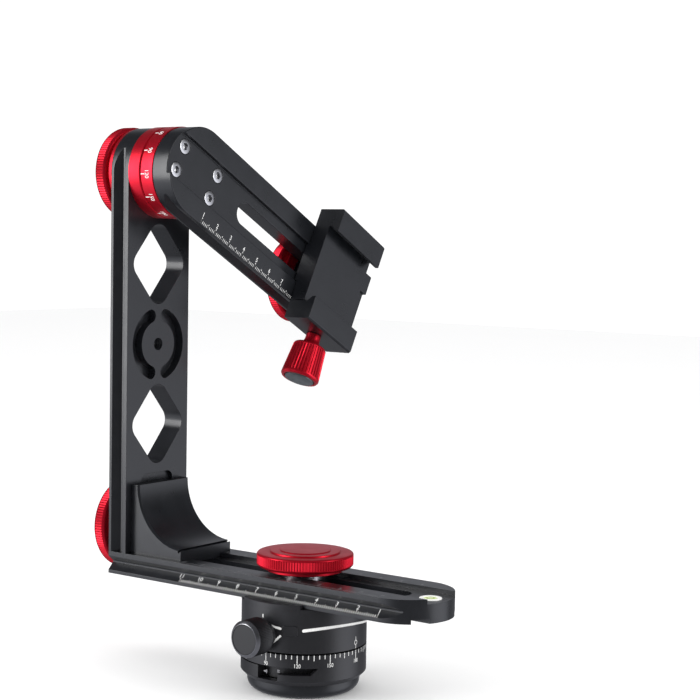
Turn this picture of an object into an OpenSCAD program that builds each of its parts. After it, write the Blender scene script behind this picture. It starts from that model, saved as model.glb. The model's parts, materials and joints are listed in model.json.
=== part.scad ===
/* [Rotator base] */
// Radius of the round base plate
plate_r = 22.65; // [21.5:0.05:23.5]
// Thickness of the base plate
plate_h = 5.7; // [5:0.1:7]
// Rounding of the base plate's lower edge
plate_edge = 4; // [1:0.5:4.5]
// Bore radius of the tapped tripod hole
tripod_bore_r = 3.97; // [3.9:0.01:4.05]
// Depth of the tapped tripod hole
tripod_bore_h = 9; // [8:0.5:10]
// Wall of the steel bush round the tripod hole
bush_wall = 3; // [2:0.25:4]
// Radius of the hub that carries the index lever
hub_r = 14; // [13.8:0.1:14.5]
// Radius of the bearing spindle
spindle_r = 9; // [8:0.1:9.2]
// Height of the pan scale ring
ring_h = 12.8; // [12.4:0.1:15]
// Chamfer under the pan scale ring
ring_chamfer = 2.1; // [1.5:0.1:2.4]
// Thickness of the web on top of the scale ring
web_h = 5.3; // [5:0.1:5.6]
// Radius of the ring's cavity round the index lever
cavity_r = 21.9; // [21.2:0.1:22]
// Radius of the index lever's tab
lever_tab_r = 25.4; // [24:0.1:27]
// Angle that the index lever's tab spans
lever_tab_span = 43; // [30:1:50]
// Angle that the index lever swings
lever_swing = 20; // [10:1:21]
// Angle between two click stops of the pan scale
click_step = 15; // [10:5:30]

/* [Rotator drum] */
// Radius of the drum
drum_r = 25.3; // [25:0.1:28]
// Height of the drum
drum_h = 17.5; // [17.3:0.1:20]
// Open seam between the scale ring and the drum
seam_gap = 0.5; // [0.4:0.05:0.8]
// Width of the two shoulders that guide the lower rail
shoulder_w = 28.2; // [20:0.2:30]
// Height of the shoulders beside the lower rail
shoulder_h = 1.4; // [1:0.1:2]
// Radius of the lid on top of the drum
lid_r = 18.9; // [18.5:0.1:19]
// Thickness of the lid on top of the drum
lid_h = 3.9; // [3.5:0.1:4.1]
// Height of the lock knob's axis above the drum's lower edge
lock_up = 6.7; // [6.3:0.1:6.8]
// Radius of the boss behind the lock knob
lock_boss_r = 8; // [6:0.1:9]
// Distance of the boss's face from the drum's axis
lock_boss_reach = 27; // [26.5:0.1:28]
// Radius of the lock knob
lock_knob_r = 7.3; // [6.5:0.1:8]
// Length of the lock knob's grip
lock_knob_l = 9.4; // [7:0.1:14]
// Radius of the lock screw
lock_screw_r = 2.5; // [2:0.1:2.6]

/* [Dovetail bars] */
// Width of each dovetail bar
bar_w = 38; // [38:0.1:39]
// Thickness of the lower rail
rail_t = 9.4; // [9:0.1:11]
// Thickness of the upright arm and the upper rail
bar_t = 9.9; // [9.5:0.1:11]
// Height of the upright strip at a bar's dovetail edge
foot_h = 1.4; // [1:0.1:1.8]
// Height of the dovetail facet above that strip
facet_h = 3; // [2.5:0.1:3.2]
// Depth of the groove along a bar's edges
groove_d = 2.8; // [2:0.1:2.8]
// Thickness of the lip above the groove
lip_h = 2.1; // [1.5:0.1:2.4]
// Height of the slope from the groove to the lip
lip_slope = 2.3; // [1.5:0.1:2.4]
// Width of the channel along a rail's face
channel_w = 19.2; // [18:0.1:20]
// Depth of the channel along a rail's face
channel_d = 1.9; // [1.4:0.1:2.2]
// Width of a rail's through slot
slot_w = 10; // [9:0.1:11]
// Distance from the middle of the lower rail to its relief grooves
relief_from = 8.5; // [8:0.1:9]
// Width of the lower rail's relief grooves
relief_w = 5.9; // [4:0.1:6]
// Depth of the lower rail's relief grooves
relief_d = 1.8; // [1:0.1:2]

/* [Lower rail] */
// Reach of the lower rail's round end from the rotator axis
rail_reach = 68.3; // [67:0.1:90]
// Reach of its slot toward the round end
slot_reach = 51; // [40:0.5:52]
// Reach of its slot under the gusset
slot_back = 57; // [55:0.5:60]
// Radius of the bubble level
level_r = 4.4; // [4:0.1:4.8]
// Distance of the bubble level from the round end
level_inset = 7.6; // [7:0.1:9]

/* [Upright arm] */
// Distance of the arm's front face from the rotator axis
arm_front = 81.3; // [78:0.1:95]
// Height of the tilt axis above the lower rail
tilt_up = 160.8; // [155:0.1:190]
// Height of the arm's centre hole above the lower rail
centre_up = 88; // [86:0.5:92]
// Distance of each diamond window from the centre hole
window_pitch = 34.2; // [33:0.1:35]
// Width of a diamond window
window_w = 30.6; // [26:0.2:31]
// Height of a diamond window
window_h = 34; // [28:0.2:34.4]
// Corner radius of a diamond window
window_r = 6; // [3:0.5:7]
// Bore radius of the arm's tapped centre hole
centre_bore_r = 2.6; // [2.5:0.05:2.75]
// Radius of the two curved pockets' middle line
pocket_r = 12.85; // [11:0.05:13]
// Width of the curved pockets
pocket_w = 5.5; // [4:0.1:5.8]
// Angle from the middle of a curved pocket to its end
pocket_span = 70; // [40:1:72]
// Depth of the curved pockets
pocket_d = 4; // [2:0.1:5]
// Height of the arm's foot recess above the lower rail
recess_h = 32.8; // [32:0.1:36]

/* [Gusset] */
// Width of the gusset
gusset_w = 31.6; // [28:0.1:34]
// Height of the gusset
gusset_h = 29.2; // [28:0.1:31]
// Thickness of the gusset's top
gusset_top = 4.1; // [3.5:0.1:5]
// Radius of the gusset's hollow face
gusset_r = 24.5; // [23.5:0.1:25]
// Height of the arm knob's axis above the lower rail
arm_knob_up = 9.5; // [9:0.1:11]

/* [Tilt unit] */
// Radius of the fixed ring and of the dial
dial_r = 19.3; // [19:0.1:22]
// Width of the fixed ring
fixed_ring_l = 6.7; // [6:0.1:9]
// Width of the numbered dial
dial_l = 6.7; // [6.3:0.1:9]
// Radius of the tilt shaft
shaft_r = 6; // [5.5:0.1:7]
// Radius of the thrust disc behind the tilt knob
thrust_r = 18.7; // [16:0.1:19]
// Thickness of that thrust disc
thrust_h = 1.8; // [1.2:0.1:2.4]
// Wall of the bush round the tilt shaft
tilt_bush_wall = 3; // [2:0.25:3.5]
// Tilt of the upper rail below the level
tilt_angle = 28.3; // [0:0.1:60]

/* [Upper rail and camera clamp] */
// Reach of the upper rail from the tilt axis
upper_reach = 130; // [125:1:131]
// Start of its slot from the tilt axis
upper_slot_from = 30; // [28:0.5:36]
// End of its slot from the tilt axis
upper_slot_to = 118; // [116:0.5:119]
// Place of the camera clamp along the upper rail
clamp_at = 97; // [80:0.5:100]
// Length of the camera clamp along the upper rail
clamp_l = 36; // [32:0.5:42]
// Overall width of the camera clamp
clamp_w = 55.2; // [53:0.2:60]
// Thickness of the camera clamp
clamp_h = 13.7; // [13.5:0.1:16]
// Thickness of the camera clamp's floor
clamp_floor = 7.9; // [7.5:0.1:8.5]
// Distance of the clamp screw from the upper rail's face
screw_up = 4.7; // [4.2:0.1:4.8]
// Radius of the clamp screw
clamp_screw_r = 2.5; // [2:0.1:2.6]
// Length of the clamp knob
clamp_knob_l = 22.6; // [18:0.1:30]
// Radius of the clamp knob at its outer end
clamp_knob_r = 8.8; // [8:0.1:11]
// Number of ribs on the clamp knob
clamp_knob_ribs = 36; // [16:1:36]

/* [Disc knobs] */
// Radius of the red disc knobs
knob_r = 19.5; // [18:0.1:20]
// Thickness of a disc knob's rim
knob_rim_h = 5.6; // [5:0.1:8]
// Radius of the collar under the rim
collar_r = 15.5; // [12:0.1:17]
// Height of the collar under the rim
collar_h = 1.7; // [1.2:0.1:3]
// Radius of the washer under a disc knob
washer_r = 10.4; // [10:0.1:11.5]
// Thickness of the washer under a disc knob
washer_h = 0.9; // [0.8:0.1:2]
// Radius of the knobs' threaded studs
stud_r = 4; // [3:0.1:4.2]
// Width of the flat rim round the dished face
rim_flat = 1.6; // [1:0.1:2.5]
// Depth of the dished face
dish_d = 1.2; // [0.6:0.1:1.4]
// Number of teeth round a disc knob's rim
knob_teeth = 110; // [60:1:120]
// Depth of those teeth
tooth_d = 0.4; // [0.2:0.05:0.5]

/* [Fits] */
// Gap between faces that slide or turn past each other
face_gap = 0.3; // [0.25:0.05:0.5]
// Radial clearance of shafts and screws that turn
run_fit = 0.05; // [0.02:0.01:0.08]
// Clearance of a tongue in its recess
key_fit = 0.1; // [0.05:0.05:0.2]

/* [Hidden] */
$fn = 96;
eps = 0.01;
over = 1;

half_w = bar_w / 2;
edge = 0.8;
small_edge = 0.4;

// heights of the rotator
web_z = plate_h + ring_h - web_h;
seam_z = plate_h + ring_h;
drum_z = seam_z + seam_gap;
drum_top = drum_z + drum_h;
rail_z = drum_top + face_gap;
rail_top = rail_z + rail_t;

// inside of the rotator base
bush_r = tripod_bore_r + bush_wall;
lever_z = plate_h + ring_chamfer;
lever_h = web_z - face_gap - lever_z;
lever_r = cavity_r - 1;
lever_from = -140;
window_spare = 2.5;
window_step = lever_from + lever_tab_span + lever_swing + 1;
window_to = -45.5;
sill_h = 2.7;
small_screw_r = 1.25;
small_head_r = 2.2;
small_head_h = 2;
screw_ring_r = (spindle_r + hub_r) / 2;
washer_ring_r = hub_r + 0.2;
washer_ring_w = 3;
washer_ring_h = 1.7;
click_r = washer_ring_r + washer_ring_w + 1;
click_w = 4;
click_h = 2;
click_sink = 0.5;
ball_r = 1.5;

// inside of the drum
lid_z = drum_top - lid_h;
nut_room_h = 3.6;
nut_room_r = 13;
nut_z = lid_z - nut_room_h + face_gap;
nut_r = 11;
nut_flange_h = 1;
nut_h = 3;
thread_r = 6;
lid_screw_at = 16;
lid_screw_in = 5;
lock_z = drum_z + lock_up;
shoe_r = lock_screw_r + 0.25;
shoe_from = spindle_r + run_fit + face_gap;
shoe_to = 13.2;
shoulder_y = half_w + face_gap;
plug_w = 6.3;
plug_h = 4.1;
plug_deep = 3;
plug_proud = 0.3;
plug_at = -65;
plug_z = drum_z + 9;
lock_gap = 1.5;
lock_from = lock_boss_reach + lock_gap;
lock_to = lock_from + lock_knob_l;
lock_bevel = 0.74;

// places of the bars
arm_x = -arm_front;
arm_back = arm_x - bar_t;
rail_end = rail_reach - half_w;
tilt_z = rail_top + tilt_up;
centre_z = rail_top + centre_up;
channel_floor = rail_top - channel_d;
level_x = rail_reach - level_inset;
level_deep = 5;
level_proud = 0.8;
level_wall = 1.1;

// gusset
toe_x = arm_x + gusset_top + gusset_r - 0.3;
arc_x = toe_x + 0.5;
arc_z = rail_top + gusset_h;
toe_edge = 1;
gusset_edge = 0.8;
arm_knob_z = rail_top + arm_knob_up;
arm_stud_deep = 8.3;
gusset_screw_r = 2.5;
gusset_head_r = 4.2;
gusset_head_h = 4.5;
gusset_screw_up = 4.8;
gusset_screws_x = [arm_x + 6.3, -slot_back - 8];

// tilt unit
ring_x = arm_x;
dial_x = ring_x + fixed_ring_l;
upper_x = dial_x + dial_l;
upper_face = upper_x + bar_t;
tilt_bush_r = shaft_r + run_fit + tilt_bush_wall;
bolt_ring_r = (tilt_bush_r + dial_r) / 2;
flange_r = shaft_r + 4;
flange_h = 2;
upper_screw_r = 2;
upper_head_r = 3.2;
upper_head_h = 2.6;
upper_screw_y = 11.8;
upper_screw_z = 5.5;
upper_screw_in = 4.7;

// camera clamp
clamp_x = upper_face + face_gap;
clamp_floor_x = clamp_x + clamp_floor;
jaw_joint = half_w - 0.5;
screw_x = clamp_x + screw_up;
clamp_stud_top = clamp_floor_x - 1.2;
clamp_outer = clamp_w / 2;
pin_r = 2;
pin_pitch = clamp_l / 2 - 5.5;
pin_from = jaw_joint - 7;
pin_to = clamp_outer - 1.6;
key_w = channel_w - 2 * face_gap;
clamp_knob_from = clamp_outer + face_gap;
cap_r = clamp_knob_r - 1.65;

// disc knobs
knob_h = washer_h + collar_h + knob_rim_h;
stud_in = knob_h - dish_d - 1.6;
knob_bore = stud_r + run_fit;
rim_in = knob_r - edge - rim_flat;
rim_r = knob_r - tooth_d;
dish_slope = 0.8;

// ---- helpers ----

// Turns a shape drawn on the ground so that it runs along X
module along_x() {
    rotate([90, 0, 90])
        children();
}

// Turns a shape so that it runs along Y, with its height toward +X
module along_y() {
    rotate([-90, -90, 0])
        children();
}

// Turns a shape so that it runs along Z, with its height toward +X
module along_z() {
    rotate([0, 0, -90])
        children();
}

// Places the parts that tilt, drawn level with their length along Y
module tilted() {
    translate([0, 0, tilt_z])
        rotate([-tilt_angle, 0, 0])
            children();
}

// Points a shape that stands on Z outward along -X
module facing_back() {
    rotate([0, -90, 0])
        children();
}

// Ring sector between two radii and two angles
module sector(r_in, r_out, from, to) {
    reach = 3 * r_out;
    middle = (from + to) / 2;
    intersection() {
        difference() {
            circle(r_out);
            circle(r_in);
        }
        polygon([
            [0, 0],
            reach * [cos(from), sin(from)],
            reach * [cos(middle), sin(middle)],
            reach * [cos(to), sin(to)]
        ]);
    }
}

// Slot with round ends between two places along x
module slot(from, to, width) {
    r = width / 2;
    translate([from + r, -r])
        square([to - from - width, width]);
    for (x = [from + r, to - r])
        translate([x, 0])
            circle(r);
}

// Diamond with rounded corners, given by its overall size
module diamond(width, height, r) {
    a = width / 2 - r;
    b = height / 2 - r;
    side = norm([a, b]);
    across = r * b / side;
    up = r * a / side;
    polygon([
        [a + across, up], [across, b + up], [-across, b + up], [-a - across, up],
        [-a - across, -up], [-across, -b - up], [across, -b - up], [a + across, -up]
    ]);
    for (corner = [[a, 0], [0, b], [-a, 0], [0, -b]])
        translate(corner)
            circle(r);
}

// Rectangle with rounded corners, centred
module rounded_plate(width, height, r) {
    square([width, height - 2 * r], center = true);
    square([width - 2 * r, height], center = true);
    for (x = [-1, 1], y = [-1, 1])
        translate([x * (width / 2 - r), y * (height / 2 - r)])
            circle(r);
}

// Section of a dovetail bar: dovetail facet below, lip above
module bar_section(t) {
    in = half_w - groove_d;
    right = [
        [half_w, 0], [half_w, foot_h], [in, foot_h + facet_h],
        [in, t - lip_h - lip_slope], [half_w, t - lip_h], [half_w, t]
    ];
    polygon(concat(right, [for (i = [len(right) - 1:-1:0]) [-right[i].x, right[i].y]]));
}

// Section of a rail, with its channel above
module rail_section(t) {
    difference() {
        bar_section(t);
        translate([-channel_w / 2, t - channel_d])
            square([channel_w, channel_d + over]);
    }
}

// Rail section with relief grooves below as well
module relieved_section(t) {
    difference() {
        rail_section(t);
        for (side = [-1, 1])
            translate([side * (relief_from + relief_w / 2) - relief_w / 2, -over])
                square([relief_w, relief_d + over]);
    }
}

// Bar outline that ends round at the origin's side of a length
module round_end_outline(from, end) {
    translate([from, -half_w])
        square([end - from, bar_w]);
    translate([end, 0])
        circle(half_w);
}

// Small cap screw pointing down from its head's top at z = 0
module cap_screw(r, length, head_r, head_h) {
    translate([0, 0, -head_h])
        cylinder(r = head_r, h = head_h);
    translate([0, 0, -head_h - length])
        cylinder(r = r, h = length + eps);
}

// ---- rotator base ----

module base_plate() {
    color("#1d1e22")
        difference() {
            union() {
                rotate_extrude()
                    polygon(concat(
                        [[0, 0]],
                        [for (a = [-90:10:0])
                            [plate_r - plate_edge + plate_edge * cos(a),
                             plate_edge + plate_edge * sin(a)]],
                        [[plate_r, plate_h], [0, plate_h]]
                    ));
                cylinder(r = hub_r + 2, h = lever_z - face_gap);
                cylinder(r = hub_r, h = web_z);
            }
            translate([0, 0, -over])
                cylinder(r = bush_r, h = tripod_bore_h + over + eps);
            translate([0, 0, tripod_bore_h])
                cylinder(r = spindle_r, h = web_z);
            base_screw_places(plate_h + 3)
                cylinder(r = small_screw_r, h = web_z);
        }
}

module base_screw_places(z) {
    for (a = [45:90:315])
        rotate(a)
            translate([screw_ring_r, 0, z])
                children();
}

module thread_bush() {
    color("#a9abad")
        difference() {
            cylinder(r = bush_r, h = tripod_bore_h);
            translate([0, 0, -over])
                cylinder(r = tripod_bore_r, h = tripod_bore_h + 2 * over);
        }
}

module scale_ring() {
    window_h = web_z - lever_z;
    color("#26272b")
        difference() {
            rotate_extrude()
                polygon([
                    [cavity_r, plate_h], [drum_r - ring_chamfer, plate_h], [drum_r, lever_z],
                    [drum_r, seam_z], [spindle_r, seam_z], [spindle_r, web_z], [cavity_r, web_z]
                ]);
            translate([0, 0, lever_z])
                linear_extrude(window_h)
                    sector(cavity_r - over, drum_r + over, lever_from - window_spare, window_step);
            slanted_window();
            translate([0, 0, seam_z - washer_ring_h + 0.2])
                ring(washer_ring_r, washer_ring_r + washer_ring_w, washer_ring_h);
            translate([0, 0, seam_z - click_sink - click_h])
                ring(click_r, click_r + click_w, click_h + click_sink + over);
            base_screw_places(web_z - over)
                cylinder(r = small_screw_r, h = web_h + 2 * over);
            base_screw_places(seam_z - small_head_h - 1)
                cylinder(r = small_head_r, h = small_head_h + 2);
        }
}

// Cutter for the window's high part, whose far end leans at 45 degrees
module slanted_window() {
    difference() {
        translate([0, 0, web_z - sill_h])
            linear_extrude(sill_h)
                sector(cavity_r - over, drum_r + over, window_step - 1, window_to + 10);
        rotate(window_to)
            translate([0, 0, web_z])
                along_x()
                    linear_extrude(2 * drum_r)
                        polygon([
                            [-over, -sill_h - over], [drum_r, -sill_h - over], [drum_r, over],
                            [sill_h + over, over]
                        ]);
    }
}

// Flat ring with its lower face at z = 0
module ring(r_in, r_out, h) {
    difference() {
        cylinder(r = r_out, h = h);
        translate([0, 0, -over])
            cylinder(r = r_in, h = h + 2 * over);
    }
}

module ring_screws() {
    length = seam_z - 1 - small_head_h - (plate_h + 3);
    color("#8d8f92")
        base_screw_places(seam_z - 1)
            cap_screw(small_screw_r, length, small_head_r, small_head_h);
}

module click_ring() {
    color("#b08d4c")
        translate([0, 0, seam_z - click_sink - click_h])
            difference() {
                ring(click_r, click_r + click_w, click_h);
                for (a = [0:click_step:359])
                    rotate(a)
                        translate([click_r + click_w / 2, 0, click_h + 0.6])
                            sphere(r = ball_r);
            }
}

module thrust_washer() {
    color("#b8894a")
        translate([0, 0, seam_z - washer_ring_h + 0.2])
            ring(washer_ring_r, washer_ring_r + washer_ring_w, washer_ring_h);
}

module pan_spindle() {
    color("#9c9ea1")
        union() {
            translate([0, 0, tripod_bore_h])
                cylinder(r = spindle_r, h = nut_z - tripod_bore_h);
            translate([0, 0, nut_z])
                cylinder(r = thread_r, h = nut_h);
        }
}

module spindle_nut() {
    color("#7b7d80")
        translate([0, 0, nut_z])
            difference() {
                union() {
                    cylinder(r = nut_r, h = nut_flange_h);
                    cylinder(r = 0.92 * nut_r, h = nut_h, $fn = 6);
                }
                translate([0, 0, -over])
                    cylinder(r = thread_r, h = nut_h + 2 * over);
            }
}

module index_lever() {
    color("#151619")
        translate([0, 0, lever_z])
            linear_extrude(lever_h)
                union() {
                    difference() {
                        circle(lever_r);
                        circle(hub_r + run_fit);
                    }
                    sector(lever_r - over, lever_tab_r, lever_from, lever_from + lever_tab_span);
                }
}

// ---- rotator drum ----

module rotator_drum() {
    color("#2b2c31")
        difference() {
            union() {
                translate([0, 0, drum_z])
                    cylinder(r = drum_r, h = drum_h);
                intersection() {
                    translate([0, 0, drum_z])
                        cylinder(r = drum_r, h = drum_h + face_gap + shoulder_h);
                    shoulders();
                }
                lock_boss();
            }
            translate([0, 0, drum_z - over])
                cylinder(r = spindle_r + run_fit, h = drum_h);
            translate([0, 0, lid_z - nut_room_h])
                cylinder(r = nut_room_r, h = drum_h);
            translate([0, 0, lid_z])
                cylinder(r = lid_r, h = drum_h);
            lock_axis()
                cylinder(r = lock_screw_r + run_fit, h = lock_to);
            lock_axis()
                cylinder(r = shoe_r, h = shoe_to);
            ball_place(drum_z - over)
                cylinder(r = ball_r, h = 6);
            lid_screw_places(lid_z - lid_screw_in)
                cylinder(r = small_screw_r, h = drum_h);
            plug_place(drum_r - plug_deep)
                plug_block(plug_deep + over);
        }
}

module shoulders() {
    for (side = [-1, 1])
        translate([-shoulder_w / 2, side > 0 ? shoulder_y : -shoulder_y - drum_r, drum_top - over])
            cube([shoulder_w, drum_r, over + face_gap + shoulder_h]);
}

// Puts a shape that stands on Z on the lock knob's axis, outward along -Y
module lock_axis() {
    translate([0, 0, lock_z])
        rotate([90, 0, 0])
            children();
}

module lock_boss() {
    intersection() {
        lock_axis()
            cylinder(r = lock_boss_r, h = lock_boss_reach);
        translate([-drum_r, -2 * drum_r, drum_z])
            cube([2 * drum_r, 2 * drum_r, drum_h]);
    }
}

module ball_place(z) {
    translate([-click_r - click_w / 2, 0, z])
        children();
}

module lid_screw_places(z) {
    for (a = [45:90:315])
        rotate(a)
            translate([lid_screw_at, 0, z])
                children();
}

// Puts a flat block, drawn on the ground, on the drum's side at a radius
module plug_place(r) {
    rotate(plug_at)
        translate([r, 0, plug_z])
            along_x()
                children();
}

module plug_block(deep) {
    linear_extrude(deep)
        rounded_plate(plug_w, plug_h, 1);
}

module side_plug() {
    color("#3a3b42")
        plug_place(drum_r - plug_deep)
            plug_block(plug_deep + plug_proud);
}

module drum_lid() {
    color("#35363b")
        translate([0, 0, lid_z])
            difference() {
                cylinder(r = lid_r, h = lid_h);
                translate([0, 0, -over])
                    cylinder(r = stud_r, h = lid_h + 2 * over);
                translate([0, 0, -lid_z])
                    lid_screw_places(lid_z - over)
                        cylinder(r = small_screw_r, h = lid_h + 2 * over);
                translate([0, 0, -lid_z])
                    lid_screw_places(drum_top - small_head_h)
                        cylinder(r = small_head_r, h = small_head_h + over);
            }
}

module lid_screws() {
    length = lid_h - small_head_h + lid_screw_in;
    color("#8d8f92")
        lid_screw_places(drum_top)
            cap_screw(small_screw_r, length, small_head_r, small_head_h);
}

module brake_shoe() {
    color("#b08d4c")
        difference() {
            lock_axis()
                cylinder(r = shoe_r, h = shoe_to);
            translate([0, 0, drum_z])
                cylinder(r = shoe_from, h = drum_h);
        }
}

module detent_ball() {
    color("#c9cbcd")
        ball_place(seam_z - click_sink + face_gap + ball_r)
            sphere(r = ball_r);
}

module rail_stud() {
    top = rail_top + face_gap + stud_in;
    color("#a4a6a9")
        translate([0, 0, lid_z])
            cylinder(r = stud_r, h = top - lid_z);
}

module lock_knob() {
    color("#17181a")
        lock_axis()
            difference() {
                rotate_extrude()
                    polygon([
                        [0, lock_boss_reach + face_gap], [lock_knob_r - 2.3, lock_boss_reach + face_gap],
                        [lock_knob_r - 2.3, lock_from], [lock_knob_r - small_edge, lock_from],
                        [lock_knob_r, lock_from + small_edge], [lock_knob_r, lock_to - lock_bevel],
                        [lock_knob_r - lock_bevel, lock_to], [0, lock_to]
                    ]);
                translate([0, 0, lock_boss_reach])
                    cylinder(r = lock_screw_r, h = lock_to - lock_boss_reach - 3);
            }
}

module lock_screw() {
    color("#a4a6a9")
        lock_axis()
            translate([0, 0, shoe_to + face_gap])
                cylinder(r = lock_screw_r, h = lock_to - 3 - shoe_to - face_gap);
}

// ---- disc knobs ----

// Red disc knob standing on z = 0, which is the face of its washer
module disc_knob() {
    rim_z = washer_h + collar_h;
    translate([0, 0, rim_z + edge])
        linear_extrude(knob_rim_h - 2 * edge)
            toothed_rim();
    difference() {
        rotate_extrude()
            polygon([
                [0, stud_in + 0.4], [knob_bore, stud_in + 0.4], [knob_bore, washer_h],
                [collar_r, washer_h], [collar_r, rim_z],
                [knob_r - edge, rim_z], [rim_r, rim_z + edge],
                [rim_r, knob_h - edge], [knob_r - edge, knob_h], [rim_in, knob_h],
                [rim_in - dish_slope, knob_h - dish_d], [0, knob_h - dish_d]
            ]);
        for (r = [0.5 * knob_r, 0.71 * knob_r])
            translate([0, 0, knob_h - dish_d - 0.3])
                ring(r - 0.3, r + 0.3, 1);
    }
}

// Ring of pointed teeth outside the rim's root circle
module toothed_rim() {
    half_step = 180 / knob_teeth;
    difference() {
        polygon([for (i = [0:2 * knob_teeth - 1])
            (i % 2 == 0 ? knob_r : rim_r + eps) * [cos(i * half_step), sin(i * half_step)]]);
        circle(rim_r - edge);
    }
}

module flat_washer() {
    ring(knob_bore, washer_r, washer_h);
}

module rail_knob_place() {
    translate([0, 0, rail_top + face_gap])
        children();
}

module arm_knob_place() {
    translate([arm_back - face_gap, 0, arm_knob_z])
        facing_back()
            children();
}

module tilt_knob_place() {
    translate([arm_back - face_gap - thrust_h + washer_h, 0, tilt_z])
        facing_back()
            children();
}

module clamp_lock_place() {
    tilted()
        translate([upper_x - face_gap, clamp_at, 0])
            facing_back()
                children();
}

module rail_knob() {
    color("#c8283c")
        rail_knob_place()
            disc_knob();
}

module rail_washer() {
    step_r = channel_w / 2 - face_gap;
    color("#b9babc")
        rail_knob_place()
            union() {
                flat_washer();
                translate([0, 0, -channel_d])
                    ring(knob_bore, step_r, channel_d + eps);
            }
}

module arm_knob() {
    color("#c8283c")
        arm_knob_place()
            disc_knob();
}

module arm_washer() {
    color("#b9babc")
        arm_knob_place()
            flat_washer();
}

module tilt_knob() {
    color("#c8283c")
        tilt_knob_place()
            disc_knob();
}

module tilt_washer() {
    color("#b51f33")
        tilt_knob_place()
            translate([0, 0, washer_h - thrust_h])
                ring(knob_bore, thrust_r, thrust_h);
}

module clamp_lock_knob() {
    color("#c8283c")
        clamp_lock_place()
            disc_knob();
}

module clamp_lock_washer() {
    color("#b9babc")
        clamp_lock_place()
            flat_washer();
}

// ---- lower rail and gusset ----

module lower_rail() {
    color("#222327")
        difference() {
            intersection() {
                translate([arm_back, 0, rail_z])
                    along_x()
                        linear_extrude(rail_reach - arm_back)
                            relieved_section(rail_t);
                translate([0, 0, rail_z - over])
                    linear_extrude(rail_t + 2 * over)
                        round_end_outline(arm_back, rail_end);
            }
            translate([0, 0, rail_z - over])
                linear_extrude(rail_t + 2 * over)
                    slot(-slot_back, slot_reach, slot_w);
            translate([level_x, 0, channel_floor - level_deep])
                cylinder(r = level_r, h = level_deep + over);
            gusset_screw_places(rail_z - over)
                cylinder(r = gusset_screw_r, h = rail_t + 2 * over);
            gusset_screw_places(rail_z - over)
                cylinder(r = gusset_head_r, h = over + gusset_head_h);
        }
}

module gusset_screw_places(z) {
    for (x = gusset_screws_x)
        translate([x, 0, z])
            children();
}

module gusset_screws() {
    color("#8d8f92")
        gusset_screw_places(rail_z)
            mirror([0, 0, 1])
                cap_screw(gusset_screw_r, rail_t - gusset_head_h + gusset_screw_up,
                    gusset_head_r, gusset_head_h);
}

module level_ring() {
    color("#f2f2f0")
        translate([level_x, 0, channel_floor - level_deep])
            difference() {
                cylinder(r = level_r, h = level_deep + level_proud);
                translate([0, 0, 1])
                    cylinder(r = level_r - level_wall, h = level_deep + level_proud);
            }
}

module level_vial() {
    color("#d7e796")
        translate([level_x, 0, channel_floor - level_deep + 1])
            cylinder(r = level_r - level_wall, h = level_deep + level_proud - 1.3);
}

module gusset() {
    half = gusset_w / 2;
    key_half = channel_w / 2 - key_fit;
    color("#2c2d33")
        difference() {
            union() {
                translate([arm_x, -half, rail_top])
                    cube([toe_x - arm_x, gusset_w, gusset_h]);
                translate([arm_x, -key_half, channel_floor + key_fit])
                    cube([toe_x - arm_x, 2 * key_half, channel_d]);
                translate([arm_x - channel_d + key_fit, -key_half, rail_top])
                    cube([channel_d, 2 * key_half, gusset_h]);
            }
            translate([arc_x, 0, arc_z])
                rotate([90, 0, 0])
                    hollow_cutter(half);
            translate([toe_x, 0, arc_z - gusset_r])
                rotate([0, 45, 0])
                    cube([toe_edge, gusset_w + over, toe_edge * 4], center = true);
            translate([arm_x - bar_t, 0, arm_knob_z])
                rotate([0, 90, 0])
                    cylinder(r = stud_r, h = bar_t + arm_stud_deep);
            gusset_screw_places(channel_floor)
                cylinder(r = gusset_screw_r, h = channel_d + gusset_screw_up);
        }
}

// Cylinder across the gusset that widens to a chamfer at both faces
module hollow_cutter(half) {
    cylinder(r = gusset_r, h = 2 * half + 2 * over, center = true);
    for (side = [0, 1])
        mirror([0, 0, side])
            translate([0, 0, half - gusset_edge])
                cylinder(r1 = gusset_r, r2 = gusset_r + gusset_edge + over, h = gusset_edge + over);
}

// ---- upright arm ----

module upright_arm() {
    color("#1f2024")
        difference() {
            intersection() {
                translate([arm_back, 0, rail_top])
                    along_z()
                        linear_extrude(tilt_up + half_w)
                            bar_section(bar_t);
                translate([arm_back - over, 0, tilt_z])
                    rotate([0, 90, 0])
                        linear_extrude(bar_t + 2 * over)
                            arm_outline();
            }
            for (side = [-1, 1])
                arm_cut(centre_up + side * window_pitch)
                    linear_extrude(bar_t + 2 * over)
                        diamond(window_w, window_h, window_r);
            arm_cut(centre_up)
                cylinder(r = centre_bore_r, h = bar_t + 2 * over);
            for (side = [-1, 1])
                translate([arm_x - pocket_d, 0, centre_z])
                    along_x()
                        linear_extrude(pocket_d + over)
                            curved_pocket(side);
            foot_recess();
            arm_cut(arm_knob_up)
                cylinder(r = stud_r + key_fit, h = bar_t + 2 * over);
            arm_cut(tilt_up)
                cylinder(r = tilt_bush_r, h = bar_t + 2 * over);
            translate([arm_x - 5, 0, tilt_z])
                ring_bolt_places()
                    cylinder(r = small_screw_r, h = 5 + over);
        }
}

// Outline of the arm below the tilt axis, with x downward
module arm_outline() {
    translate([0, -half_w])
        square([tilt_up, bar_w]);
    circle(half_w);
}

// Puts a shape drawn on the ground through the arm, at a height above the rail
module arm_cut(up) {
    translate([arm_back - over, 0, rail_top + up])
        along_x()
            children();
}

module curved_pocket(side) {
    from = side > 0 ? -pocket_span : 180 - pocket_span;
    to = from + 2 * pocket_span;
    sector(pocket_r - pocket_w / 2, pocket_r + pocket_w / 2, from, to);
    for (a = [from, to])
        translate(pocket_r * [cos(a), sin(a)])
            circle(pocket_w / 2);
}

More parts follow.
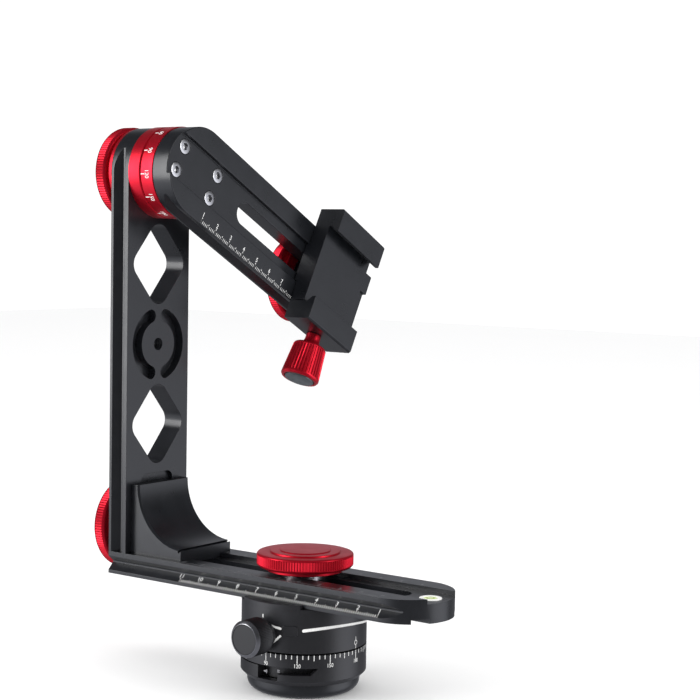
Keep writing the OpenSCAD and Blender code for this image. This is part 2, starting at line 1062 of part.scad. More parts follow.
module foot_recess() {
    corner = 3;
    translate([arm_x - channel_d, 0, rail_top])
        along_x()
            linear_extrude(channel_d + over) {
                translate([-channel_w / 2, -over])
                    square([channel_w, recess_h - corner + over]);
                translate([-channel_w / 2 + corner, 0])
                    square([channel_w - 2 * corner, recess_h]);
                for (side = [-1, 1])
                    translate([side * (channel_w / 2 - corner), recess_h - corner])
                        circle(corner);
            }
}

module arm_stud() {
    from = arm_back - face_gap - stud_in;
    color("#a4a6a9")
        translate([from, 0, arm_knob_z])
            rotate([0, 90, 0])
                cylinder(r = stud_r, h = arm_x + arm_stud_deep - from);
}

// ---- tilt unit ----

// Puts a shape that stands on Z on the bolt circle, pointing along +X
module ring_bolt_places() {
    for (a = [0:120:240])
        rotate([a, 0, 0])
            translate([0, bolt_ring_r, 0])
                rotate([0, 90, 0])
                    children();
}

// Turns a shape that stands on Z to +X on the tilt axis
module on_tilt_axis(x) {
    translate([x, 0, tilt_z])
        rotate([0, 90, 0])
            children();
}

module fixed_ring() {
    length = fixed_ring_l - face_gap;
    color("#b51f33")
        difference() {
            on_tilt_axis(ring_x)
                rotate_extrude()
                    polygon([
                        [tilt_bush_r, 0], [dial_r, 0], [dial_r, length - small_edge],
                        [dial_r - small_edge, length], [tilt_bush_r, length]
                    ]);
            translate([ring_x - over, 0, tilt_z])
                ring_bolt_places()
                    cylinder(r = small_screw_r, h = fixed_ring_l + over);
            translate([ring_x + length - small_head_h - small_edge, 0, tilt_z])
                ring_bolt_places()
                    cylinder(r = small_head_r, h = small_head_h + over);
        }
}

module ring_bolts() {
    top = ring_x + fixed_ring_l - face_gap - small_edge;
    color("#8d8f92")
        translate([top, 0, tilt_z])
            ring_bolt_places()
                cap_screw(small_screw_r, top - small_head_h - (arm_x - 5), small_head_r, small_head_h);
}

module tilt_bush() {
    color("#b08d4c")
        on_tilt_axis(arm_back)
            ring(shaft_r + run_fit, tilt_bush_r, bar_t + fixed_ring_l - 2 * face_gap);
}

module tilt_shaft() {
    stud_out = face_gap + thrust_h - washer_h + stud_in;
    color("#a4a6a9")
        union() {
            on_tilt_axis(upper_x - flange_h)
                cylinder(r = flange_r, h = flange_h);
            on_tilt_axis(arm_back)
                cylinder(r = shaft_r, h = upper_x - arm_back - eps);
            on_tilt_axis(arm_back - stud_out)
                cylinder(r = stud_r, h = stud_out + eps);
        }
}

module tilt_dial() {
    color("#c2273b")
        difference() {
            on_tilt_axis(dial_x)
                rotate_extrude()
                    polygon([
                        [shaft_r, 0], [dial_r - small_edge, 0], [dial_r, small_edge], [dial_r, dial_l],
                        [flange_r, dial_l], [flange_r, dial_l - flange_h], [shaft_r, dial_l - flange_h]
                    ]);
            upper_screw_places(upper_x - upper_screw_in)
                cylinder(r = upper_screw_r, h = dial_l);
        }
}

// Puts a shape that stands on Z on the four screws of the upper rail
module upper_screw_places(x) {
    tilted()
        for (y = [-1, 1], z = [-1, 1])
            translate([x, y * upper_screw_y, z * upper_screw_z])
                rotate([0, 90, 0])
                    children();
}

// ---- upper rail and camera clamp ----

module upper_rail() {
    floor_x = upper_face - channel_d;
    color("#1c1d21")
        difference() {
            tilted()
                difference() {
                    intersection() {
                        translate([upper_x, -half_w, 0])
                            along_y()
                                linear_extrude(upper_reach + half_w)
                                    rail_section(bar_t);
                        translate([upper_x - over, 0, 0])
                            along_x()
                                linear_extrude(bar_t + 2 * over)
                                    mirror([1, 0])
                                        round_end_outline(-upper_reach, 0);
                    }
                    translate([upper_x - over, 0, 0])
                        along_x()
                            linear_extrude(bar_t + 2 * over)
                                slot(upper_slot_from, upper_slot_to, slot_w);
                }
            upper_screw_places(upper_x - over)
                cylinder(r = upper_screw_r, h = bar_t + 2 * over);
            upper_screw_places(floor_x - upper_head_h)
                cylinder(r = upper_head_r, h = upper_head_h + over);
        }
}

module upper_rail_screws() {
    top = upper_face - channel_d;
    color("#8d8f92")
        upper_screw_places(top)
            cap_screw(upper_screw_r, top - upper_head_h - upper_x + upper_screw_in,
                upper_head_r, upper_head_h);
}

// Outline of a clamp jaw with its floor, from the floor's free edge outward
function jaw_outline(floor_from) =
    let (
        wall = half_w + key_fit,
        lip = half_w - groove_d + face_gap,
        step = clamp_floor + foot_h + key_fit
    ) [
        [floor_from, 0], [clamp_outer, 0], [clamp_outer, clamp_h - edge],
        [clamp_outer - edge, clamp_h], [lip, clamp_h], [lip, step + wall - lip],
        [wall, step], [wall, clamp_floor], [floor_from, clamp_floor]
    ];

// Puts a section drawn across the clamp along its whole length
module clamp_length() {
    tilted()
        translate([clamp_x, clamp_at - clamp_l / 2, 0])
            along_y()
                linear_extrude(clamp_l)
                    children();
}

module clamp_body() {
    color("#2b2d33")
        difference() {
            clamp_length() {
                polygon(jaw_outline(-jaw_joint));
                translate([-key_w / 2, face_gap - channel_d])
                    square([key_w, channel_d]);
            }
            clamp_screw_axis()
                cylinder(r = clamp_screw_r + run_fit, h = clamp_outer);
            pin_places()
                cylinder(r = pin_r, h = clamp_outer);
            tilted()
                translate([upper_x, clamp_at, 0])
                    rotate([0, 90, 0])
                        cylinder(r = stud_r, h = clamp_stud_top - upper_x);
        }
}

// Puts a shape that stands on Z on the clamp screw's axis, pointing outward
module clamp_screw_axis() {
    tilted()
        translate([screw_x, clamp_at, 0])
            mirror([0, 0, 1])
                translate([0, 0, stud_r + 2])
                    children();
}

// Puts a shape that stands on Z on the two guide pins, pointing outward
module pin_places() {
    tilted()
        for (side = [-1, 1])
            translate([screw_x, clamp_at + side * pin_pitch, 0])
                mirror([0, 0, 1])
                    translate([0, 0, pin_from])
                        children();
}

module guide_pins() {
    color("#b4b6b8")
        pin_places()
            cylinder(r = pin_r, h = pin_to - pin_from);
}

module clamp_stud() {
    from = upper_x - face_gap - stud_in;
    color("#a4a6a9")
        tilted()
            translate([from, clamp_at, 0])
                rotate([0, 90, 0])
                    cylinder(r = stud_r, h = clamp_stud_top - from);
}

module clamp_jaw() {
    color("#2b2d33")
        difference() {
            clamp_length()
                mirror([1, 0])
                    polygon(jaw_outline(jaw_joint + face_gap));
            clamp_screw_axis()
                cylinder(r = clamp_screw_r + run_fit, h = clamp_outer);
            pin_places()
                cylinder(r = pin_r + run_fit, h = pin_to - pin_from + face_gap);
        }
}

module clamp_screw() {
    to = clamp_knob_from + 8 - stud_r - 2;
    color("#a4a6a9")
        clamp_screw_axis()
            cylinder(r = clamp_screw_r, h = to);
}

// Puts a shape that stands on Z where the clamp knob starts
module clamp_knob_place() {
    clamp_screw_axis()
        translate([0, 0, clamp_knob_from - stud_r - 2])
            children();
}

module clamp_knob() {
    neck_r = 3.4;
    shoulder = 5.5;
    start_r = clamp_knob_r - 1.2;
    flare = [for (a = [0:15:90])
        [neck_r + 3 * (1 - cos(a)), shoulder - 3.4 + 3.4 * sin(a)]];
    color("#c01f33")
        clamp_knob_place()
            difference() {
                rotate_extrude()
                    polygon(concat(
                        [[0, 0], [neck_r, 0]],
                        flare,
                        [[start_r - edge, shoulder], [start_r, shoulder + edge],
                         [clamp_knob_r, clamp_knob_l - 2], [clamp_knob_r - 0.6, clamp_knob_l - 0.8],
                         [cap_r, clamp_knob_l - 0.8], [cap_r, clamp_knob_l - 2.4],
                         [0, clamp_knob_l - 2.4]]
                    ));
                translate([0, 0, -over])
                    cylinder(r = clamp_screw_r, h = 8 + over);
                for (i = [0:clamp_knob_ribs - 1])
                    rotate(i * 360 / clamp_knob_ribs)
                        translate([start_r + 0.45, 0, shoulder - over])
                            rotate([0, atan((clamp_knob_r - start_r) / clamp_knob_l), 0])
                                cylinder(r = 0.6, h = clamp_knob_l - shoulder - 2.6, $fn = 12);
            }
}

module clamp_knob_cap() {
    color("#6e7378")
        clamp_knob_place()
            translate([0, 0, clamp_knob_l - 2.4])
                rotate_extrude()
                    polygon([
                        [0, 0], [cap_r, 0], [cap_r, 1.8], [cap_r - 0.5, 2.4], [0, 2.4]
                    ]);
}

base_plate();
thread_bush();
scale_ring();
ring_screws();
click_ring();
thrust_washer();
pan_spindle();
spindle_nut();
index_lever();
rotator_drum();
drum_lid();
lid_screws();
side_plug();
brake_shoe();
detent_ball();
rail_stud();
lock_knob();
lock_screw();
rail_knob();
rail_washer();
lower_rail();
level_ring();
level_vial();
gusset();
gusset_screws();
upright_arm();
arm_stud();
fixed_ring();
ring_bolts();
tilt_bush();
arm_knob();
arm_washer();
tilt_shaft();
tilt_dial();
upper_rail();
upper_rail_screws();
tilt_knob();
tilt_washer();
clamp_body();
guide_pins();
clamp_stud();
clamp_lock_knob();
clamp_lock_washer();
clamp_jaw();
clamp_screw();
clamp_knob();
clamp_knob_cap();
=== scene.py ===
import json
import math
import bpy
from mathutils import Matrix, Vector


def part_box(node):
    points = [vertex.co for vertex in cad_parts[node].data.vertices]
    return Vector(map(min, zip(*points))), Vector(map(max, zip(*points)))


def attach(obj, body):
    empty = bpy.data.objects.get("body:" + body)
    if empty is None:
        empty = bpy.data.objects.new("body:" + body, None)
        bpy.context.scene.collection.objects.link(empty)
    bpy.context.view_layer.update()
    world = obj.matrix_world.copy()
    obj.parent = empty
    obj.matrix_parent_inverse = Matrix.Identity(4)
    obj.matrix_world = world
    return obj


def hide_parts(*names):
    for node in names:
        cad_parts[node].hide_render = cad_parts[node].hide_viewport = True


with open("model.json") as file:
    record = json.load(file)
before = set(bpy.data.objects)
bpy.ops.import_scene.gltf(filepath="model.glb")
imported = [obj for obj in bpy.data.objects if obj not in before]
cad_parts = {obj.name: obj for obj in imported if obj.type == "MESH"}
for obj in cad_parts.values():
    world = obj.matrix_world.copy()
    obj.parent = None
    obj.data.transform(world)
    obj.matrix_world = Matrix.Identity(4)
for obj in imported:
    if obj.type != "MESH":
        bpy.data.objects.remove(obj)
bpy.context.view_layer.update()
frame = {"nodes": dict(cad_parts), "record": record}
nodes = frame["nodes"]
slotOf = {row["node"]: row["material_slot"] for row in frame["record"]["subparts"]}
bodyOf = {node: body for body, members in frame["record"]["behaviour"]["bodies"].items() for node in members}
print("frame loaded,", len(nodes), "nodes")


tiltAxis = dict(height=207.0, lean=28.3)  # of the upper rail, about the X axis


# small helpers

def mm(value):
    return value / 1000


def pickNothing():
    if bpy.context.object and bpy.context.object.mode != "OBJECT":
        bpy.ops.object.mode_set(mode="OBJECT")
    bpy.ops.object.select_all(action="DESELECT")


def pick(piece):
    pickNothing()
    piece.select_set(True)
    bpy.context.view_layer.objects.active = piece


def bakePlace(piece):
    pick(piece)
    bpy.ops.object.transform_apply(location=True, rotation=True, scale=True)


def applyAll(piece):
    pick(piece)
    for modifier in list(piece.modifiers):
        bpy.ops.object.modifier_apply(modifier=modifier.name)


def smoothEdges(piece, degrees=32):
    pick(piece)
    bpy.ops.object.shade_smooth_by_angle(angle=math.radians(degrees))


def evenShading(piece, degrees=50):  # keeps flat faces flat beside their fine chamfers
    smoothEdges(piece, degrees)
    weighted = piece.modifiers.new("evenShading", "WEIGHTED_NORMAL")
    weighted.keep_sharp = True
    applyAll(piece)


def editAll(piece):
    pick(piece)
    bpy.ops.object.mode_set(mode="EDIT")
    bpy.ops.mesh.select_all(action="SELECT")


def leaveEdit():
    bpy.ops.object.mode_set(mode="OBJECT")


def pickVertices(piece, test):  # selects vertices by their place, in millimetres
    pick(piece)
    bpy.ops.object.mode_set(mode="EDIT")
    bpy.ops.mesh.select_mode(type="VERT")
    bpy.ops.mesh.select_all(action="DESELECT")
    bpy.ops.object.mode_set(mode="OBJECT")
    for vertex in piece.data.vertices:
        vertex.select = test(vertex.co * 1000)
    bpy.ops.object.mode_set(mode="EDIT")


def closeNormals(piece):
    editAll(piece)
    bpy.ops.mesh.normals_make_consistent(inside=False)
    leaveEdit()


def joinPieces(pieces, name):
    pick(pieces[0])
    for piece in pieces:
        piece.select_set(True)
    if len(pieces) > 1:
        bpy.ops.object.join()
    joined = bpy.context.object
    joined.name = name
    return joined


def ownCopy(piece, name, matrix=None):
    copied = piece.copy()
    copied.data = piece.data.copy()
    copied.name = name
    bpy.context.collection.objects.link(copied)
    if matrix is not None:
        copied.data.transform(matrix)
    return copied


def turnedPiece(name, profile, segments):  # profile rows are (height, radius) in millimetres
    height, radius = profile[0]
    pickNothing()
    bpy.ops.mesh.primitive_circle_add(
        vertices=segments, radius=mm(radius), fill_type="NGON", location=(0, 0, mm(height)))
    piece = bpy.context.object
    piece.name = name
    bakePlace(piece)
    editAll(piece)
    for nextHeight, nextRadius in profile[1:]:
        bpy.ops.mesh.extrude_region_move(
            TRANSFORM_OT_translate={"value": (0, 0, mm(nextHeight - height))})
        if abs(nextRadius - radius) > 0.001:
            share = nextRadius / radius
            bpy.ops.transform.resize(value=(share, share, 1), center_override=(0, 0, mm(nextHeight)))
        height, radius = nextHeight, nextRadius
    leaveEdit()
    closeNormals(piece)
    return piece


def bridgeEnds(piece):  # a turning whose first and last discs give way to a band between them
    editAll(piece)
    bpy.ops.mesh.select_mode(type="FACE")
    bpy.ops.mesh.select_all(action="DESELECT")
    bpy.ops.mesh.select_face_by_sides(number=4, type="GREATER")
    bpy.ops.mesh.delete(type="FACE")
    bpy.ops.mesh.select_mode(type="EDGE")
    bpy.ops.mesh.select_all(action="DESELECT")
    bpy.ops.mesh.select_non_manifold()
    bpy.ops.mesh.bridge_edge_loops()
    leaveEdit()
    closeNormals(piece)


def cutTeeth(piece, low, high, radius, depth, segments, every=2, wanted=(1,)):
    def inTooth(place):
        if not (low - 0.01 < place.z < high + 0.01 and abs(place.xy.length - radius(place.z)) < 0.05):
            return False
        return round(math.atan2(place.y, place.x) / (2 * math.pi / segments)) % every in wanted
    pickVertices(piece, inTooth)
    share = 1 - depth / radius((low + high) / 2)
    bpy.ops.transform.resize(value=(share, share, 1), center_override=(0, 0, 0))
    leaveEdit()


def facing(direction, place, spin=0.0):  # matrix that stands a piece made on +Z along a direction
    turn = Vector((0, 0, 1)).rotation_difference(Vector(direction)).to_matrix().to_4x4()
    return Matrix.Translation(Vector(place)) @ turn @ Matrix.Rotation(spin, 4, "Z")


def dress(piece, node, material, replaced=True):
    piece.data.materials.clear()
    piece.data.materials.append(material)
    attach(piece, bodyOf[node])
    if replaced:
        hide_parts(node)


# materials

def startMaterial(name):
    material = bpy.data.materials.new(name)
    material.use_nodes = True
    tree = material.node_tree
    return material, tree, tree.nodes["Principled BSDF"], tree.nodes.new("ShaderNodeTexCoord")


def addNoise(tree, place, size, detail=3.0):
    noise = tree.nodes.new("ShaderNodeTexNoise")
    noise.inputs["Scale"].default_value = 1 / size
    noise.inputs["Detail"].default_value = detail
    tree.links.new(place.outputs["Object"], noise.inputs["Vector"])
    return noise


def addRange(tree, source, low, high, fromLow=0.3, fromHigh=0.7):
    ranged = tree.nodes.new("ShaderNodeMapRange")
    for name, value in (("From Min", fromLow), ("From Max", fromHigh), ("To Min", low), ("To Max", high)):
        ranged.inputs[name].default_value = value
    tree.links.new(source, ranged.inputs["Value"])
    return ranged.outputs["Result"]


def addBump(tree, height, shader, strength, depth):
    bump = tree.nodes.new("ShaderNodeBump")
    bump.inputs["Strength"].default_value = strength
    bump.inputs["Distance"].default_value = depth
    tree.links.new(height, bump.inputs["Height"])
    tree.links.new(bump.outputs["Normal"], shader.inputs["Normal"])


def addTwoTones(tree, factor, colour, colourTwo, shader):
    mix = tree.nodes.new("ShaderNodeMix")
    mix.data_type = "RGBA"
    mix.inputs["A"].default_value = (*colour, 1)
    mix.inputs["B"].default_value = (*colourTwo, 1)
    tree.links.new(factor, mix.inputs["Factor"])
    tree.links.new(mix.outputs["Result"], shader.inputs["Base Color"])


def anodised(name, look):  # dyed aluminium: cloudy dye over a fine blasted grain
    material, tree, shader, place = startMaterial(name)
    shader.inputs["Metallic"].default_value = look["metallic"]
    shader.inputs["Specular IOR Level"].default_value = look.get("specular", 0.5)
    clouds = addNoise(tree, place, look["cloudSize"])
    addTwoTones(tree, addRange(tree, clouds.outputs["Fac"], 0, 1), look["colour"], look["colourTwo"], shader)
    spread = look["roughSpread"]
    rough = addRange(tree, clouds.outputs["Fac"], look["rough"] - spread, look["rough"] + spread)
    tree.links.new(rough, shader.inputs["Roughness"])
    grain = addNoise(tree, place, look["grainSize"], 1.0)
    addBump(tree, grain.outputs["Fac"], shader, look["grainStrength"], look["grainDepth"])
    return material


def turnedMetal(name, look):  # bright metal with fine turning marks
    material, tree, shader, place = startMaterial(name)
    shader.inputs["Metallic"].default_value = look["metallic"]
    fine = addNoise(tree, place, look["markSize"], 2.0)
    fine.inputs["Distortion"].default_value = 0.6
    addTwoTones(tree, addRange(tree, fine.outputs["Fac"], 0, 1), look["colour"], look["colourTwo"], shader)
    clouds = addNoise(tree, place, mm(3))
    rough = addRange(tree, clouds.outputs["Fac"], look["rough"] - 0.06, look["rough"] + 0.06)
    tree.links.new(rough, shader.inputs["Roughness"])
    addBump(tree, fine.outputs["Fac"], shader, look["markStrength"], mm(0.01))
    return material


def mattSurface(name, look):  # paint, print and moulded plastic
    material, tree, shader, place = startMaterial(name)
    clouds = addNoise(tree, place, look["cloudSize"])
    addTwoTones(tree, addRange(tree, clouds.outputs["Fac"], 0, 1), look["colour"], look["colourTwo"], shader)
    shader.inputs["Roughness"].default_value = look["rough"]
    return material


blackLook = dict(
    colour=(0.007, 0.008, 0.010), colourTwo=(0.010, 0.011, 0.014), metallic=0.0, specular=0.55, rough=0.30,
    roughSpread=0.03, cloudSize=mm(9), grainSize=mm(0.14), grainStrength=0.10, grainDepth=mm(0.02))
drumLook = dict(blackLook, colour=(0.012, 0.012, 0.014), colourTwo=(0.015, 0.015, 0.018), rough=0.36)
gripLook = dict(blackLook, colour=(0.004, 0.004, 0.005), colourTwo=(0.006, 0.006, 0.008), rough=0.42)
redLook = dict(
    colour=(0.70, 0.010, 0.030), colourTwo=(0.60, 0.008, 0.024), metallic=0.8, rough=0.36,
    roughSpread=0.03, cloudSize=mm(8), grainSize=mm(0.12), grainStrength=0.06, grainDepth=mm(0.02))
capLook = dict(
    colour=(0.20, 0.22, 0.235), colourTwo=(0.16, 0.18, 0.19), metallic=0.8, rough=0.38,
    roughSpread=0.05, cloudSize=mm(3), grainSize=mm(0.12), grainStrength=0.05, grainDepth=mm(0.02))
bevelLook = dict(
    colour=(0.42, 0.42, 0.44), colourTwo=(0.36, 0.36, 0.38), metallic=1.0, rough=0.3,
    roughSpread=0.05, cloudSize=mm(2), grainSize=mm(0.1), grainStrength=0.04, grainDepth=mm(0.01))
steelLook = dict(
    colour=(0.62, 0.62, 0.63), colourTwo=(0.54, 0.54, 0.55), metallic=1.0, rough=0.28,
    markSize=mm(0.2), markStrength=0.2)
washerLook = dict(steelLook, colour=(0.80, 0.80, 0.82), colourTwo=(0.72, 0.72, 0.74), rough=0.22)
bronzeLook = dict(steelLook, colour=(0.55, 0.36, 0.16), colourTwo=(0.48, 0.31, 0.13), rough=0.34)
whiteLook = dict(colour=(0.88, 0.88, 0.87), colourTwo=(0.76, 0.76, 0.75), rough=0.5, cloudSize=mm(0.6))
fadedLook = dict(whiteLook, colour=(0.30, 0.30, 0.32), colourTwo=(0.24, 0.24, 0.26))
bubbleLook = dict(colour=(0.82, 0.92, 0.52), colourTwo=(0.88, 0.95, 0.62), rough=0.05, cloudSize=mm(2))
levelLook = dict(colour=(0.90, 0.90, 0.88), colourTwo=(0.84, 0.84, 0.82), rough=0.35, cloudSize=mm(2))
fluidLook = dict(colour=(0.60, 0.76, 0.22), colourTwo=(0.70, 0.83, 0.34), rough=0.08, cloudSize=mm(3))

blackMetal = anodised("blackAnodised", blackLook)
drumMetal = anodised("drumAnodised", drumLook)
gripMetal = anodised("gripAnodised", gripLook)
redMetal = anodised("redAnodised", redLook)
capMetal = anodised("greyAnodised", capLook)
bevelMetal = anodised("cutBevel", bevelLook)
steelMetal = turnedMetal("turnedSteel", steelLook)
washerMetal = turnedMetal("brightWasher", washerLook)
bronzeMetal = turnedMetal("bearingBronze", bronzeLook)
whitePaint = mattSurface("whiteEngraving", whiteLook)
fadedPaint = mattSurface("fadedEngraving", fadedLook)
bubbleGlass = mattSurface("levelBubble", bubbleLook)
levelWhite = mattSurface("levelWhite", levelLook)
levelFluid = mattSurface("levelFluid", fluidLook)

slotMaterials = dict(
    black=blackMetal, drum_black=drumMetal, grip_black=gripMetal, red=redMetal, steel=steelMetal,
    washer_steel=washerMetal, bronze=bronzeMetal, level_white=levelWhite, level_fluid=levelFluid,
    cap_grey=capMetal)

for node, slotName in slotOf.items():
    nodes[node].data.materials.clear()
    nodes[node].data.materials.append(slotMaterials[slotName])
print("materials on the CAD nodes")


# machined parts whose edges are broken: a merged copy of the solid gets fine chamfers

softened = {
    "base_plate": dict(name="basePlate", width=0.45),
    "scale_ring": dict(name="scaleRing", width=0.25),
    "index_lever": dict(name="indexLever", width=0.3),
    "side_plug": dict(name="sidePlug", width=0.35),
    "lower_rail": dict(name="lowerRail", width=0.28),
    "gusset": dict(name="gussetBlock", width=0.4),
    "upright_arm": dict(name="uprightArm", width=0.3),
    "fixed_ring": dict(name="fixedRing", width=0.15),
    "tilt_dial": dict(name="tiltDial", width=0.15),
    "upper_rail": dict(name="upperRail", width=0.28),
    "clamp_body": dict(name="clampBody", width=0.35),
    "clamp_jaw": dict(name="clampJaw", width=0.35),
    "drum_lid": dict(name="drumLid", width=0.2),
    "tilt_washer": dict(name="thrustDisc", width=0.25),
}


def softenNode(node, look):
    piece = ownCopy(nodes[node], look["name"])
    piece.parent = None
    for key in list(piece.keys()):
        del piece[key]
    editAll(piece)
    bpy.ops.mesh.remove_doubles(threshold=mm(0.002))
    bpy.ops.mesh.dissolve_limited(angle_limit=math.radians(1.0))
    leaveEdit()
    bevel = piece.modifiers.new("brokenEdges", "BEVEL")
    bevel.width = mm(look["width"])
    bevel.segments = 2
    bevel.limit_method = "ANGLE"
    bevel.angle_limit = math.radians(28)
    bevel.miter_outer = "MITER_ARC"
    applyAll(piece)
    evenShading(piece)
    dress(piece, node, slotMaterials[slotOf[node]])


for node, look in softened.items():
    softenNode(node, look)
print("edges broken on", len(softened), "machined parts")


# rotator drum: turned body with its inner rooms, two rail shoulders and the slim boss of the lock knob
drum = dict(
    segments=144, low=19.0, high=36.5, radius=25.3, boreRadius=9.05, roomRadius=13.0, roomFrom=29.0,
    lidRadius=18.9, lidFrom=32.6, shoulderHigh=38.2, shoulderFrom=19.3, shoulderHalf=14.1,
    bossRadius=5.3, bossReach=27.0, lockHeight=25.7)


def makeDrumBody(look):
    low, high, radius = look["low"], look["high"], look["radius"]
    body = turnedPiece("rotatorDrum", [
        (low, radius - 0.3), (low + 0.08, radius - 0.09), (low + 0.3, radius), (high - 0.3, radius),
        (high - 0.08, radius - 0.09), (high, radius - 0.3), (high, look["lidRadius"]),
        (look["lidFrom"], look["lidRadius"]), (look["lidFrom"], look["roomRadius"]),
        (look["roomFrom"], look["roomRadius"]), (look["roomFrom"], look["boreRadius"]),
        (low, look["boreRadius"])], look["segments"])
    bridgeEnds(body)
    return body


def makeShoulders(look):
    radius = look["radius"]
    shoulders = []
    for side in (-1, 1):
        piece = turnedPiece("shoulder", [
            (look["high"] - 0.4, radius), (look["shoulderHigh"] - 0.2, radius),
            (look["shoulderHigh"], radius - 0.2)], look["segments"])
        for point, normal in (((0, side * look["shoulderFrom"], 0), (0, -side, 0)),
                              ((look["shoulderHalf"], 0, 0), (1, 0, 0)),
                              ((-look["shoulderHalf"], 0, 0), (-1, 0, 0))):
            editAll(piece)
            bpy.ops.mesh.bisect(
                plane_co=Vector(point) / 1000, plane_no=normal, clear_outer=True, use_fill=True)
            leaveEdit()
        shoulders.append(piece)
    return shoulders


def makeLockBoss(look):
    reach, radius = look["bossReach"], look["bossRadius"]
    boss = turnedPiece("lockBoss", [
        (20.0, radius), (reach - 0.25, radius), (reach - 0.07, radius - 0.07), (reach, radius - 0.25),
        (reach, 2.6), (20.5, 2.6)], 48)
    boss.data.transform(facing((0, -1, 0), (0, 0, mm(look["lockHeight"]))))
    return boss


drumPiece = joinPieces([makeDrumBody(drum), makeLockBoss(drum)] + makeShoulders(drum), "rotatorDrum")
evenShading(drumPiece, 28)
dress(drumPiece, "rotator_drum", drumMetal)
print("rotator drum turned")


# red disc knobs, modelled once standing on their washer's face
discKnob = dict(
    segments=220, rimRadius=19.5, toothDepth=0.28, toothLow=3.8, toothHigh=7.3, hubFoot=0.9,
    profile=[(5.8, 4.05), (0.9, 4.05), (0.9, 15.3), (1.1, 15.5), (2.45, 15.5), (2.6, 15.65), (2.6, 18.5),
             (2.75, 18.85), (3.3, 19.35), (3.6, 19.5), (3.8, 19.5), (7.3, 19.5), (7.5, 19.5),
             (7.8, 19.38), (8.08, 19.1), (8.2, 18.75), (8.2, 14.5), (8.12, 14.4), (8.12, 14.25),
             (8.25, 14.15), (8.7, 14.0),
             (8.8, 13.85), (8.82, 13.6), (8.84, 10.6), (8.76, 10.5), (8.76, 10.35), (8.9, 10.25),
             (9.1, 10.1), (9.17, 9.9), (9.2, 9.4), (9.25, 6.0), (9.27, 2.0)])


def makeDiscKnob(look):
    knob = turnedPiece("discKnob", look["profile"], look["segments"])
    cutTeeth(knob, look["toothLow"], look["toothHigh"], lambda z: look["rimRadius"], look["toothDepth"],
             look["segments"])
    return knob


def knobFoot(node, direction):  # origin of the knob's profile, from the box of its solid
    low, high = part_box(node)
    foot = (low + high) / 2
    axis = max(range(3), key=lambda i: abs(direction[i]))
    foot[axis] = low[axis] if direction[axis] > 0 else high[axis]
    return foot - Vector(direction) * mm(discKnob["hubFoot"])


knobPlaces = {
    "rail_knob": ("railKnob", (0, 0, 1)),
    "arm_knob": ("armKnob", (-1, 0, 0)),
    "tilt_knob": ("tiltKnob", (-1, 0, 0)),
    "clamp_lock_knob": ("clampLockKnob", (-1, 0, 0)),
}
firstKnob = makeDiscKnob(discKnob)
for node, (pieceName, direction) in knobPlaces.items():
    knob = ownCopy(firstKnob, pieceName, facing(direction, knobFoot(node, direction)))
    smoothEdges(knob, 34)
    dress(knob, node, redMetal)
bpy.data.objects.remove(firstKnob)
print("disc knobs turned and knurled")


# pan lock knob: fine straight knurl and a bright bevel, whose middle lies in the given ranges
lockKnob = dict(
    segments=152, radius=7.3, toothDepth=0.2, toothLow=29.2, toothHigh=36.5,
    bevelReach=(36.75, 37.85), bevelRadius=(5.95, 7.28),
    profile=[(34.6, 2.5), (27.3, 2.5), (27.3, 4.8), (27.5, 5.0), (28.5, 5.0), (28.5, 6.8), (28.65, 7.05),
             (29.0, 7.3), (29.2, 7.3), (36.5, 7.3), (36.7, 7.3), (36.85, 7.22), (37.72, 6.2), (37.85, 6.0),
             (37.85, 5.8), (37.7, 5.6), (37.7, 1.0)])
lowKnob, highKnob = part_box("lock_knob")
knobAxis = Vector(((lowKnob.x + highKnob.x) / 2, 0, (lowKnob.z + highKnob.z) / 2))
panLock = turnedPiece("panLockKnob", lockKnob["profile"], lockKnob["segments"])
cutTeeth(panLock, lockKnob["toothLow"], lockKnob["toothHigh"], lambda z: lockKnob["radius"],
         lockKnob["toothDepth"], lockKnob["segments"])
panLock.data.transform(facing((0, -1, 0), knobAxis))
smoothEdges(panLock, 34)
dress(panLock, "lock_knob", gripMetal)
panLock.data.materials.append(bevelMetal)
for face in panLock.data.polygons:
    out = (face.center - knobAxis) * 1000
    (nearest, farthest), (inner, outer) = lockKnob["bevelReach"], lockKnob["bevelRadius"]
    if nearest < -out.y < farthest and inner < math.hypot(out.x, out.z) < outer:
        face.material_index = 1
print("pan lock knob made")


# clamp knob: ribbed taper with a dark groove round its end cap
clampKnob = dict(
    ribs=36, perRib=4, neck=3.4, startRadius=7.6, endRadius=8.8, taperFrom=6.3, taperTo=20.6,
    ribLow=7.0, ribHigh=20.0, ribDepth=0.42, capMiddle=21.4)


def taperRadius(height):
    look = clampKnob
    share = (height - look["taperFrom"]) / (look["taperTo"] - look["taperFrom"])
    return look["startRadius"] + share * (look["endRadius"] - look["startRadius"])


def makeClampKnob(look):
    flare = []
    for angle in range(0, 91, 15):
        turn = math.radians(angle)
        flare.append((5.5 - 3.4 + 3.4 * math.sin(turn), look["neck"] + 3 * (1 - math.cos(turn))))
    profile = [(8.0, 2.5), (0.0, 2.5), (0.0, 3.25), (0.15, look["neck"])] + flare
    profile += [(5.5, 6.75), (5.62, 7.1), (5.9, 7.4), (look["taperFrom"], look["startRadius"])]
    profile += [(height, taperRadius(height)) for height in (6.6, look["ribLow"], look["ribHigh"], 20.3)]
    profile += [(look["taperTo"], look["endRadius"]), (21.0, 8.75), (21.65, 8.3), (21.8, 8.1),
                (21.8, 7.3), (21.7, 7.15), (20.25, 7.15), (20.2, 7.0), (20.2, 1.0)]
    segments = look["ribs"] * look["perRib"]
    knob = turnedPiece("clampKnob", profile, segments)
    cutTeeth(knob, look["ribLow"], look["ribHigh"], taperRadius, look["ribDepth"], segments,
             every=look["perRib"], wanted=(0, 1))
    return knob


